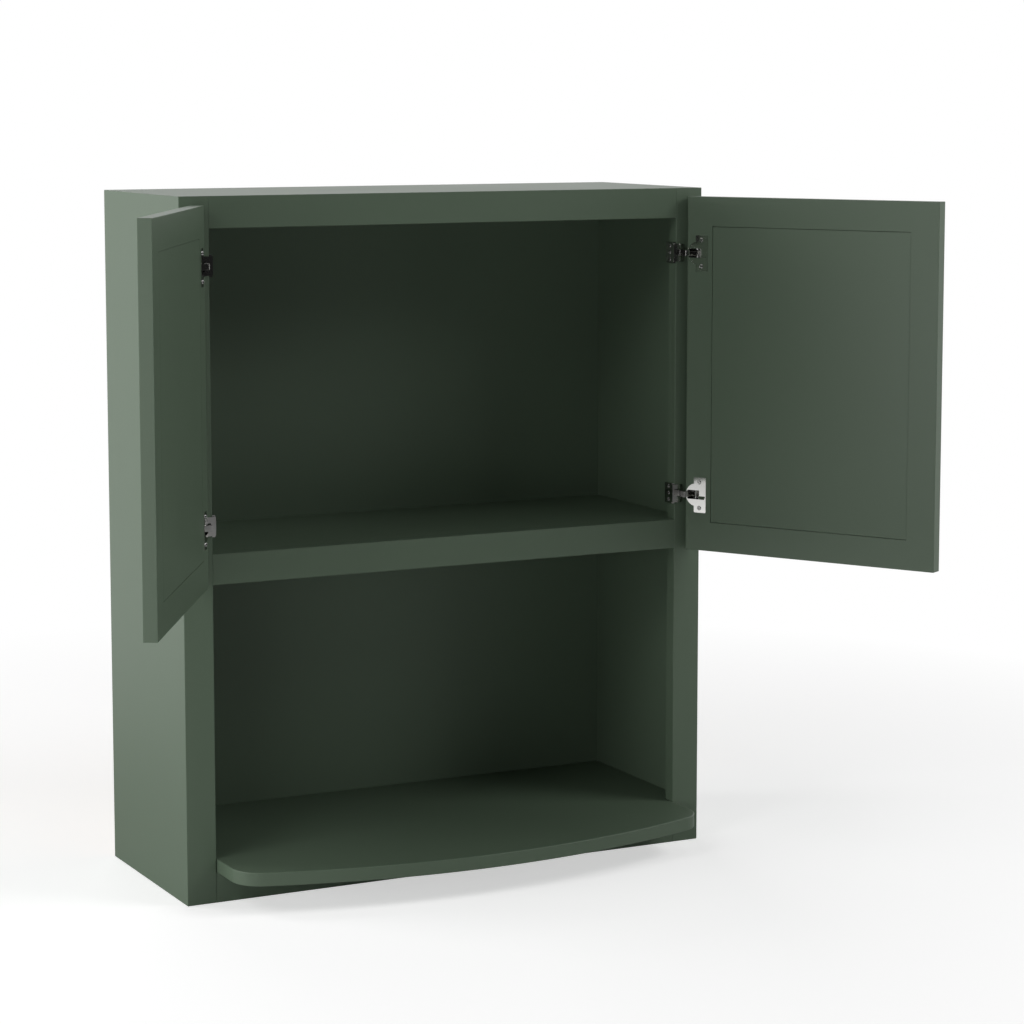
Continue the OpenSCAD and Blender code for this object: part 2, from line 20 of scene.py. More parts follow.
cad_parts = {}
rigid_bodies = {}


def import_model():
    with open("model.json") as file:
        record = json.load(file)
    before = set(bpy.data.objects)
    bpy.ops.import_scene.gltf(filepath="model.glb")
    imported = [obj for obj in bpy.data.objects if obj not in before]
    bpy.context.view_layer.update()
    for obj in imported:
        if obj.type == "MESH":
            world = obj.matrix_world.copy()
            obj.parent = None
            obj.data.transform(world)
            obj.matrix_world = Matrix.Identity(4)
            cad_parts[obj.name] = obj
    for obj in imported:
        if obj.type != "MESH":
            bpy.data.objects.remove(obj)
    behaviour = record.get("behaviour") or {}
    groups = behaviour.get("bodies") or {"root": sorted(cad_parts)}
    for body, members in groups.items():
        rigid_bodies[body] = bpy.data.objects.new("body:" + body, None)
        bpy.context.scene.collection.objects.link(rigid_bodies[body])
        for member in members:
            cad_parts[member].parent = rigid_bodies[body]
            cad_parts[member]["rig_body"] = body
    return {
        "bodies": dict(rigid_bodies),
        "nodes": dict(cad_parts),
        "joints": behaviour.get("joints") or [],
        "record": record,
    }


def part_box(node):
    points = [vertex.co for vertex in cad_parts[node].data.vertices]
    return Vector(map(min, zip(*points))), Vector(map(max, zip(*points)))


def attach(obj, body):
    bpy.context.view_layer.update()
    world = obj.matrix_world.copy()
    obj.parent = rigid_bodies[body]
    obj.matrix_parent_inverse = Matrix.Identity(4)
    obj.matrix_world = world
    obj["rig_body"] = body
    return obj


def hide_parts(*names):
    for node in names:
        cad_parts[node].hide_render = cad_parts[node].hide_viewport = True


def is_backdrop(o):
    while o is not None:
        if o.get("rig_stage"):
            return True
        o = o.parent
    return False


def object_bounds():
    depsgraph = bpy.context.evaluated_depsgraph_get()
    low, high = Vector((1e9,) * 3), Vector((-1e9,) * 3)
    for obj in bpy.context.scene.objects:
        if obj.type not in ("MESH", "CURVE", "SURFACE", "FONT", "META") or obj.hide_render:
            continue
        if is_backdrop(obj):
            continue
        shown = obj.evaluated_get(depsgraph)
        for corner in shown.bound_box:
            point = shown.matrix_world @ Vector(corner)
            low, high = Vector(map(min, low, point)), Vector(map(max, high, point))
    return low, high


LOG = logging.getLogger("cabinet")
MM = 0.001
PLANE_TOLERANCE = 0.02 * MM
WELD_DISTANCE = 0.001 * MM
FLAT_ANGLE = math.radians(0.5)
SHARP_ANGLE = math.radians(35)
CREASE_ANGLE = math.radians(50)
WHITE = (1.0, 1.0, 1.0, 1.0)

Triple = tuple[float, float, float]
Span = tuple[float, float]
Material = bpy.types.Material
Piece = bpy.types.Object
Socket = bpy.types.NodeSocket


class Face(Enum):
    """A face of a board's box: the axis that it is square to, and which end of that axis."""

    LEFT = (0, 0)
    RIGHT = (0, 1)
    FRONT = (1, 0)
    REAR = (1, 1)
    DOWN = (2, 0)
    UP = (2, 1)


Corner = tuple[Face, Face]


class Side(Enum):
    """A side of the cabinet, with the sign of its X."""

    LEFT = -1
    RIGHT = 1

    @property
    def word(self) -> str:
        """The side's name as it stands in a piece's name."""
        return self.name.lower()

    @property
    def outer(self) -> Face:
        """The face that looks away from the cabinet's middle."""
        return Face[self.name]

    @property
    def inner(self) -> Face:
        """The face that looks towards the cabinet's middle."""
        return Face.RIGHT if self is Side.LEFT else Face.LEFT


class Level(Enum):
    """The two heights at which a door is hung."""

    UPPER = "upper"
    LOWER = "lower"


def srgb(red: int, green: int, blue: int) -> Triple:
    """Turns a colour as seen on a screen into a linear one.

    Args:
        red: Red from 0 to 255.
        green: Green from 0 to 255.
        blue: Blue from 0 to 255.

    Returns:
        The linear colour.
    """
    knee, slope, offset, power = 0.04045, 12.92, 0.055, 2.4

    def linear(value: int) -> float:
        share = value / 255
        return share / slope if share <= knee else ((share + offset) / (1 + offset)) ** power

    return linear(red), linear(green), linear(blue)


class NodeSheet:
    """A node tree with short ways to add and join nodes."""

    def __init__(self, tree: bpy.types.NodeTree) -> None:
        """Remembers the tree's nodes and links."""
        self.nodes = tree.nodes
        self.links = tree.links

    def node(
        self, kind: str, settings: dict[str, object] | None = None, **sockets: object
    ) -> bpy.types.Node:
        """Adds a node.

        Args:
            kind: The node's type.
            settings: The node's own properties.
            **sockets: Its inputs, as values or other nodes' outputs, by input name with _ for a space.

        Returns:
            The new node.
        """
        node = self.nodes.new(kind)
        for name, value in (settings or {}).items():
            setattr(node, name, value)
        for name, value in sockets.items():
            label = name.replace("_", " ")
            self.fill(next(s for s in node.inputs if s.name == label and s.enabled), value)
        return node

    def add(self, kind: str, settings: dict[str, object] | None = None, **sockets: object) -> Socket:
        """Adds a node as node() does, and returns the first output that its settings leave in use."""
        return next(s for s in self.node(kind, settings, **sockets).outputs if s.enabled)

    def fill(self, socket: Socket, value: object) -> None:
        """Links an output to a socket, or sets the socket's own value.

        Args:
            socket: The input to fill.
            value: An output socket or a plain value.
        """
        if isinstance(value, Socket):
            self.links.new(value, socket)
        else:
            socket.default_value = value

    def math(self, operation: str, first: object, second: object = 0.0) -> Socket:
        """Adds a Math node.

        Args:
            operation: The node's operation.
            first: Its first input.
            second: Its second input.

        Returns:
            The result's socket.
        """
        node = self.node("ShaderNodeMath", {"operation": operation})
        self.fill(node.inputs[0], first)
        self.fill(node.inputs[1], second)
        return node.outputs[0]


@dataclass(frozen=True)
class Noise:
    """A noise pattern: its scale, its finer layers, and a scale for each axis where it is stretched."""

    scale: float
    layers: float
    stretch: Triple | None = None


@dataclass(frozen=True)
class Relief:
    """How deep a pattern lies in a surface, and how strongly it shows."""

    depth: float
    strength: float


class ShaderSheet(NodeSheet):
    """The node tree of a material or a world."""

    def __init__(self, holder: Material | bpy.types.World, output: str) -> None:
        """Empties the holder's tree and gives it an output.

        Args:
            holder: What has the tree.
            output: The type of the output node.
        """
        holder.use_nodes = True
        super().__init__(holder.node_tree)
        self.nodes.clear()
        self.output = self.nodes.new(output)

    def show(self, shader: Socket) -> None:
        """Links a shader to the output."""
        self.links.new(shader, self.output.inputs["Surface"])


class FinishSheet(ShaderSheet):
    """The node tree of a new material, with patterns that lie on the object's own coordinates."""

    def __init__(self, name: str) -> None:
        """Starts an empty material.

        Args:
            name: The material's name.
        """
        self.material = bpy.data.materials.new(name)
        super().__init__(self.material, "ShaderNodeOutputMaterial")
        self.place = self.node("ShaderNodeTexCoord").outputs["Object"]

    def across(self) -> Socket:
        """Returns the place along X."""
        return self.node("ShaderNodeSeparateXYZ", Vector=self.place).outputs["X"]

    def noise(self, noise: Noise) -> Socket:
        """Adds a noise pattern.

        Args:
            noise: The pattern's sizes.

        Returns:
            Its value, about 0 to 1.
        """
        spot = self.place
        if noise.stretch:
            spot = self.add("ShaderNodeMapping", Vector=spot, Scale=noise.stretch)
        return self.add("ShaderNodeTexNoise", Vector=spot, Scale=noise.scale, Detail=noise.layers)

    def between(self, factor: object, low: float, high: float) -> Socket:
        """Spreads a value that runs from 0 to 1 over the range from low to high."""
        return self.add("ShaderNodeMapRange", Value=factor, To_Min=low, To_Max=high)

    def blend(self, factor: object, first: object, second: object) -> Socket:
        """Mixes two colours.

        Args:
            factor: The second colour's share.
            first: A colour or a colour's socket.
            second: A colour or a colour's socket.

        Returns:
            The mixed colour.
        """
        ends = [(*end, 1.0) if isinstance(end, tuple) else end for end in (first, second)]
        return self.add("ShaderNodeMix", {"data_type": "RGBA"}, Factor=factor, A=ends[0], B=ends[1])

    def bump(self, height: Socket, relief: Relief) -> Socket:
        """Returns the normal that a height pattern of about 0 to 1 bends."""
        return self.add("ShaderNodeBump", Height=height, Distance=relief.depth, Strength=relief.strength)

    def surface(self, **sockets: object) -> Material:
        """Ends the tree in a Principled shader with these inputs, and returns the material."""
        self.show(self.add("ShaderNodeBsdfPrincipled", **sockets))
        return self.material


@dataclass(frozen=True)
class SatinPaint:
    """Sprayed satin paint: an even colour with a faint drift, and the skin that a spray gun leaves."""

    name: str = "satin_sage_paint"
    colour: Triple = srgb(91, 107, 90)
    drifted: Triple = srgb(95, 111, 93)
    reflection: float = 0.28
    roughness: Span = (0.36, 0.44)
    drift: Noise = Noise(5.0, 2.0)
    skin: Noise = Noise(420.0, 1.0)
    relief: Relief = Relief(0.04 * MM, 0.35)

    def material(self) -> Material:
        """Builds the paint."""
        sheet = FinishSheet(self.name)
        drift, skin = sheet.noise(self.drift), sheet.noise(self.skin)
        return sheet.surface(
            Base_Color=sheet.blend(drift, self.colour, self.drifted),
            Roughness=sheet.between(drift, *self.roughness),
            Specular_IOR_Level=self.reflection,
            Normal=sheet.bump(skin, self.relief),
        )


@dataclass(frozen=True)
class BirchPlywood:
    """Unpainted birch plywood: flame-shaped year rings in its face, and fine pores."""

    name: str = "birch_plywood"
    early: Triple = srgb(222, 198, 158)
    late: Triple = srgb(196, 164, 120)
    pore: Triple = srgb(150, 116, 78)
    flame: Noise = Noise(1.0, 3.0, (4.0, 4.0, 0.7))
    ring_count: float = 26.0
    ring_wander: float = 7.0
    ring_half: float = 0.5
    late_gain: float = 1.6
    fibre: Noise = Noise(1.0, 2.0, (900.0, 900.0, 18.0))
    pore_limit: float = 0.66
    pore_share: float = 0.35
    roughness: Span = (0.57, 0.7)
    relief: Relief = Relief(0.08 * MM, 0.5)

    def material(self) -> Material:
        """Builds the bare wood with its fibres upright."""
        sheet = FinishSheet(self.name)
        flame = sheet.noise(self.flame)
        across = sheet.across()
        wander = sheet.math("MULTIPLY", flame, self.ring_wander)
        rings = sheet.math("ADD", sheet.math("MULTIPLY", across, self.ring_count), wander)
        ring = sheet.math("PINGPONG", rings, self.ring_half)
        fibre = sheet.noise(self.fibre)
        face = sheet.blend(sheet.math("MULTIPLY", ring, self.late_gain), self.early, self.late)
        pores = sheet.math("GREATER_THAN", fibre, self.pore_limit)
        return sheet.surface(
            Base_Color=sheet.blend(sheet.math("MULTIPLY", pores, self.pore_share), face, self.pore),
            Roughness=sheet.between(fibre, *self.roughness),
            Normal=sheet.bump(fibre, self.relief),
        )


@dataclass(frozen=True)
class PlyEdge:
    """The sawn edge of plywood, whose plies lie side by side across X."""

    name: str = "plywood_edge"
    long_grain: Triple = srgb(214, 186, 142)
    end_grain: Triple = srgb(168, 130, 88)
    ply: float = 1.4 * MM
    wobble: Noise = Noise(60.0, 2.0)
    wobble_share: float = 0.3
    fibre: Noise = Noise(1.0, 2.0, (2500.0, 2500.0, 60.0))
    roughness: Span = (0.6, 0.8)
    relief: Relief = Relief(0.05 * MM, 0.4)

    def material(self) -> Material:
        """Builds the banded edge, which changes grain at every ply."""
        sheet = FinishSheet(self.name)
        across = sheet.across()
        wobble = sheet.math("MULTIPLY", sheet.noise(self.wobble), self.wobble_share)
        band = sheet.math("PINGPONG", sheet.math("ADD", sheet.math("DIVIDE", across, self.ply), wobble), 1.0)
        fibre = sheet.noise(self.fibre)
        return sheet.surface(
            Base_Color=sheet.blend(sheet.math("GREATER_THAN", band, 0.5), self.long_grain, self.end_grain),
            Roughness=sheet.between(fibre, *self.roughness),
            Normal=sheet.bump(fibre, self.relief),
        )


@dataclass(frozen=True)
class Metal:
    """Plated or bare metal with a fine, slightly uneven skin."""

    name: str
    colour: Triple
    roughness: Span
    grain: Noise = Noise(1.0, 3.0, (900.0, 900.0, 900.0))
    cloud: Noise = Noise(180.0, 2.0)
    dulling: float = 0.94
    relief: Relief = Relief(0.01 * MM, 0.4)

    def material(self) -> Material:
        """Builds the metal."""
        sheet = FinishSheet(self.name)
        grain, cloud = sheet.noise(self.grain), sheet.noise(self.cloud)
        dull = tuple(share * self.dulling for share in self.colour)
        return sheet.surface(
            Base_Color=sheet.blend(cloud, self.colour, dull),
            Metallic=1.0,
            Roughness=sheet.between(cloud, *self.roughness),
            Normal=sheet.bump(grain, self.relief),
        )


@dataclass(frozen=True)
class BeechDowel:
    """Plain beech with short darker flecks along the dowel."""

    name: str = "beech_dowel"
    pale: Triple = srgb(214, 178, 132)
    fleck: Triple = srgb(176, 136, 92)
    grain: Noise = Noise(1.0, 3.0, (90.0, 1400.0, 1400.0))
    roughness: Span = (0.5, 0.65)
    relief: Relief = Relief(0.05 * MM, 0.4)

    def material(self) -> Material:
        """Builds the wood with its grain along X, as the dowels lie."""
        sheet = FinishSheet(self.name)
        grain = sheet.noise(self.grain)
        return sheet.surface(
            Base_Color=sheet.blend(grain, self.pale, self.fleck),
            Roughness=sheet.between(grain, *self.roughness),
            Normal=sheet.bump(grain, self.relief),
        )


class Finishes:
    """Every material of the cabinet, built once."""

    def __init__(self) -> None:
        """Builds the materials."""
        self.paint = SatinPaint().material()
        self.plywood = BirchPlywood().material()
        self.ply_edge = PlyEdge().material()
        self.dowel = BeechDowel().material()
        self.nickel = Metal("nickel_plate", (0.64, 0.64, 0.62), (0.04, 0.065)).material()
        self.zinc = Metal("zinc_plate", (0.44, 0.44, 0.43), (0.12, 0.18)).material()
        self.pin = Metal("ground_steel", (0.56, 0.56, 0.56), (0.14, 0.2)).material()
        self.spring = Metal("blackened_steel", (0.035, 0.035, 0.037), (0.34, 0.46)).material()


class Bench:
    """Copies nodes of the frame, shapes meshes and fastens finished pieces to their bodies."""

    def __init__(self, frame: dict) -> None:
        """Remembers the frame.
        """
        self.nodes: dict[str, Piece] = frame["nodes"]
        self.slots = {row["node"]: row["material_slot"] for row in frame["record"]["subparts"]}

    def welded(self, node: str) -> bmesh.types.BMesh:
        """Copies a node's mesh for editing, with triangles that share their corners.

        Args:
            node: The node.

        Returns:
            The copy, which has to be freed.
        """
        work = bmesh.new()
        work.from_mesh(self.nodes[node].data)
        bmesh.ops.remove_doubles(work, verts=work.verts, dist=WELD_DISTANCE)
        return work

    def copy(self, node: str, name: str, material: Material) -> Piece:
        """Copies a node with its triangles merged into plain faces.

        Args:
            node: The node to copy.
            name: The new piece's name.
            material: The new piece's material.

        Returns:
            The copy, which isn't fastened yet.
        """
        mesh = bpy.data.meshes.new(name)
        work = self.welded(node)
        bmesh.ops.dissolve_limit(work, angle_limit=FLAT_ANGLE, verts=work.verts, edges=work.edges)
        work.to_mesh(mesh)
        work.free()
        mesh.materials.append(material)
        return self.stand(mesh, name)

    @staticmethod
    def stand(mesh: bpy.types.Mesh, name: str) -> Piece:
        """Puts a mesh into the scene as an object at the origin.

        Args:
            mesh: The mesh.
            name: The object's name.

        Returns:
            The object.
        """
        piece = bpy.data.objects.new(name, mesh)
        bpy.context.scene.collection.objects.link(piece)
        return piece

    @staticmethod
    def settle(piece: Piece) -> None:
        """Turns a piece's modifiers into plain mesh.

        Args:
            piece: The piece.
        """
        graph = bpy.context.evaluated_depsgraph_get()
        graph.update()
        mesh = bpy.data.meshes.new_from_object(piece.evaluated_get(graph))
        mesh.name = piece.name
        piece.modifiers.clear()
        piece.data = mesh

    @staticmethod
    def mark_corners(piece: Piece, corners: Iterable[Corner]) -> None:
        """Marks the edges of a board's box that get rounded.

        Args:
            piece: A board that lies square to the axes.
            corners: Pairs of box faces; the edge between each pair is marked.
        """
        work = bmesh.new()
        work.from_mesh(piece.data)
        layer = work.edges.layers.float.new("bevel_weight_edge")
        low = [min(v.co[axis] for v in work.verts) for axis in range(3)]
        high = [max(v.co[axis] for v in work.verts) for axis in range(3)]
        for edge in work.edges:
            ends = [v.co for v in edge.verts]
            for pair in corners:
                planes = [(face.value[0], (low, high)[face.value[1]][face.value[0]]) for face in pair]
                if all(abs(end[axis] - level) < PLANE_TOLERANCE for axis, level in planes for end in ends):
                    edge[layer] = 1.0
        work.to_mesh(piece.data)
        work.free()

    def round_edges(self, piece: Piece, radius: float, by_angle: bool, segments: int = 3) -> None:
        """Rounds edges and keeps the flat faces' shading flat.

        Args:
            piece: The piece.
            radius: The rounding's radius.
            by_angle: True rounds every sharp edge, False only the marked ones.
            segments: Faces across each rounding.
        """
        bevel = piece.modifiers.new("rounding", "BEVEL")
        bevel.width = radius
        bevel.segments = segments
        bevel.limit_method = "ANGLE" if by_angle else "WEIGHT"
        bevel.angle_limit = SHARP_ANGLE
        bevel.miter_outer = "MITER_ARC" if by_angle else "MITER_SHARP"
        even = piece.modifiers.new("even_shading", "WEIGHTED_NORMAL")
        even.keep_sharp = True
        piece.data.shade_smooth()
        piece.data.set_sharp_from_angle(angle=CREASE_ANGLE)
        self.settle(piece)

    def fasten(self, piece: Piece, node: str) -> None:
        """Lets a finished piece stand for a node and ride on its body.

        Args:
            piece: The finished piece.
            node: The node that it replaces.
        """
        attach(piece, self.nodes[node]["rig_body"])
        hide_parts(node)
        LOG.info("%s: %d faces for %s", piece.name, len(piece.data.polygons), node)

    def finish_node(self, node: str, material: Material) -> None:
        """Gives a node that stays its material.

        Args:
            node: The node.
            material: The material.
        """
        mesh = self.nodes[node].data
        mesh.materials.clear()
        mesh.materials.append(material)
        LOG.info("%s: kept, in %s", node, material.name)


@dataclass
class Assembly:
    """A group of pieces that are made on the bench in the shared finishes."""

    bench: Bench
    finishes: Finishes

    def painted(self, node: str) -> Piece:
        """Returns a painted copy of a node."""
        return self.bench.copy(node, f"painted_{node}", self.finishes.paint)


@dataclass
class Carcass(Assembly):
    """The box: two sides, the top, the deck, the floor and the back.

    Its painted boards meet flush under the paint, so only the edges that stand free are rounded.
    """

    edge_radius: float = 0.6 * MM
    rear_facing: float = 0.9

    def build(self) -> None:
        """Builds and dresses every board."""
        for side in Side:
            corners = [(side.outer, face) for face in (Face.UP, Face.DOWN, Face.REAR)]
            self.bare_rear(self.board(f"{side.word}_side_panel", corners), self.finishes.ply_edge)
        self.board("top_panel", [])
        self.board("middle_deck", [(Face.FRONT, Face.UP)])
        self.board("floor_panel", [])
        self.bare_rear(self.board("back_panel", []), self.finishes.plywood)

    def board(self, node: str, corners: Sequence[Corner]) -> Piece:
        """Builds one painted board.

        Args:
            node: The node that it stands for.
            corners: The edges to round.

        Returns:
            The fastened board.
        """
        piece = self.painted(node)
        if corners:
            self.bench.mark_corners(piece, corners)
            self.bench.round_edges(piece, self.edge_radius, by_angle=False)
        self.bench.fasten(piece, node)
        return piece

    def bare_rear(self, piece: Piece, material: Material) -> None:
        """Leaves the faces against the wall unpainted.

        Args:
            piece: A board that reaches the wall plane.
            material: The bare wood.
        """
        piece.data.materials.append(material)
        for polygon in piece.data.polygons:
            if polygon.normal.y > self.rear_facing and abs(polygon.center.y) < PLANE_TOLERANCE:
                polygon.material_index = 1


@dataclass
class FaceFrame(Assembly):
    """The frame of stiles and rails round the two openings."""

    edge_radius: float = 0.7 * MM

    def build(self) -> None:
        """Builds the stiles, the rails and the dowels that join them."""
        for side in Side:
            corners = [(Face.FRONT, face) for face in (Face.LEFT, Face.RIGHT, Face.UP, Face.DOWN)]
            corners += [(side.outer, Face.UP), (side.outer, Face.DOWN)]
            self.member(f"frame_{side.word}_stile", corners)
        for height in ("top", "middle", "bottom"):
            self.member(f"frame_{height}_rail", [(Face.FRONT, Face.UP), (Face.FRONT, Face.DOWN)])
        self.bench.finish_node("frame_dowels", self.finishes.dowel)

    def member(self, node: str, corners: Sequence[Corner]) -> None:
        """Builds one stile or rail.

        Args:
            node: The node that it stands for.
            corners: The edges to round.
        """
        piece = self.painted(node)
        self.bench.mark_corners(piece, corners)
        self.bench.round_edges(piece, self.edge_radius, by_angle=False)
        self.bench.fasten(piece, node)


@dataclass
class Door(Assembly):
    """One door: two stiles, two rails and a panel that is flush at the back and recessed in front."""

    side: Side
    edge_radius: float = 0.6 * MM
    opening: float = math.radians(120)
    pivot_x: float = 366.3 * MM
    pivot_y: float = -297.2 * MM

    def swing(self) -> Matrix:
        """Returns the turn about the hinge pins that opens this door."""
        pivot = Matrix.Translation((self.side.value * self.pivot_x, self.pivot_y, 0))
        turn = Matrix.Rotation(self.side.value * self.opening, 4, "Z")
        return pivot @ turn @ pivot.inverted()

    def build(self) -> None:
        """Builds the five pieces of the door."""
        inner, outer = self.side.inner, self.side.outer
        ends = [(Face.REAR, Face.UP), (Face.REAR, Face.DOWN)]
        self.member("hinge_stile", [*ends, (outer, Face.UP), (outer, Face.DOWN)])
        self.member("lock_stile", [*ends, (Face.REAR, inner), (inner, Face.UP), (inner, Face.DOWN)])
        self.member("top_rail", [(Face.REAR, Face.UP)])
        self.member("bottom_rail", [(Face.REAR, Face.DOWN)])
        self.member("panel", [])

    def member(self, part: str, corners: Sequence[Corner]) -> None:
        """Builds one piece of the door with the door closed, then opens it.

        Args:
            part: The piece's name within the door.
            corners: The edges to round.
        """
        node = f"{self.side.word}_door_{part}"
        piece = self.painted(node)
        swing = self.swing()
        piece.data.transform(swing.inverted())
        self.bench.mark_corners(piece, corners)
        self.bench.round_edges(piece, self.edge_radius, by_angle=False)
        piece.data.transform(swing)
        self.bench.fasten(piece, node)


class Tree(NodeSheet):
    """A Geometry Nodes tree with named inputs."""

    def __init__(self, name: str, sizes: Sequence[str], counts: Sequence[str]) -> None:
        """Starts a tree that takes geometry, numbers and a material, and gives geometry.

        Args:
            name: The tree's name.
            sizes: The names of the inputs that are sizes.
            counts: The names of the inputs that are whole numbers.
        """
        self.group = bpy.data.node_groups.new(name, "GeometryNodeTree")
        super().__init__(self.group)
        kinds = dict.fromkeys(sizes, "NodeSocketFloat") | dict.fromkeys(counts, "NodeSocketInt")
        kinds["Material"] = "NodeSocketMaterial"
        face = self.group.interface
        face.new_socket(name="Geometry", in_out="INPUT", socket_type="NodeSocketGeometry")
        self.identifiers = {
            label: face.new_socket(name=label, in_out="INPUT", socket_type=kind).identifier
            for label, kind in kinds.items()
        }
        face.new_socket(name="Geometry", in_out="OUTPUT", socket_type="NodeSocketGeometry")
        self.entry = self.nodes.new("NodeGroupInput")
        self.exit = self.nodes.new("NodeGroupOutput")

    def given(self, label: str) -> Socket:
        """Returns a named input's socket."""
        return self.entry.outputs[label]

    def vector(self, x: object = 0.0, y: object = 0.0, z: object = 0.0) -> Socket:
        """Joins three numbers, or numbers' sockets, into a vector."""
        return self.add("ShaderNodeCombineXYZ", X=x, Y=y, Z=z)

    def join(self, *parts: Socket) -> Socket:
        """Joins several geometries into one."""
        node = self.node("GeometryNodeJoinGeometry")
        for part in parts:
            self.links.new(part, node.inputs[0])
        return node.outputs[0]

    def weld(self, distance: float, *parts: Socket) -> Socket:
        """Joins geometries and merges points that lie within a distance of each other."""
        return self.add("GeometryNodeMergeByDistance", Geometry=self.join(*parts), Distance=distance)

    def moved(self, shape: Socket, offset: object, scale: Triple = (1, 1, 1)) -> Socket:
        """Moves and scales a geometry.

        Args:
            shape: The geometry.
            offset: Where it goes.
            scale: Its scale.

        Returns:
            The moved geometry.
        """
        return self.add("GeometryNodeTransform", Geometry=shape, Translation=offset, Scale=scale)

    def store(self, shape: Socket, name: str, value: object, domain: str = "POINT") -> Socket:
        """Stores a number on each point or edge of a geometry.

        Args:
            shape: The geometry.
            name: The attribute's name.
            value: The number.
            domain: POINT or EDGE.

        Returns:
            The geometry with its attribute.
        """
        settings = {"data_type": "FLOAT", "domain": domain}
        return self.add("GeometryNodeStoreNamedAttribute", settings, Geometry=shape, Name=name, Value=value)

    def end(self, shape: Socket) -> None:
        """Realizes the geometry, gives it the tree's material and ends the tree.

        Args:
            shape: The geometry.
        """
        real = self.add("GeometryNodeRealizeInstances", Geometry=shape)
        dressed = self.add("GeometryNodeSetMaterial", Geometry=real, Material=self.given("Material"))
        self.links.new(dressed, self.exit.inputs[0])

    def grow(self, piece: Piece, values: dict[str, object]) -> None:
        """Runs the tree on a piece and keeps the result as plain mesh.

        Args:
            piece: The piece.
            values: Each input's value by name.
        """
        modifier = piece.modifiers.new(self.group.name, "NODES")
        modifier.node_group = self.group
        for label, value in values.items():
            modifier[self.identifiers[label]] = value
        Bench.settle(piece)


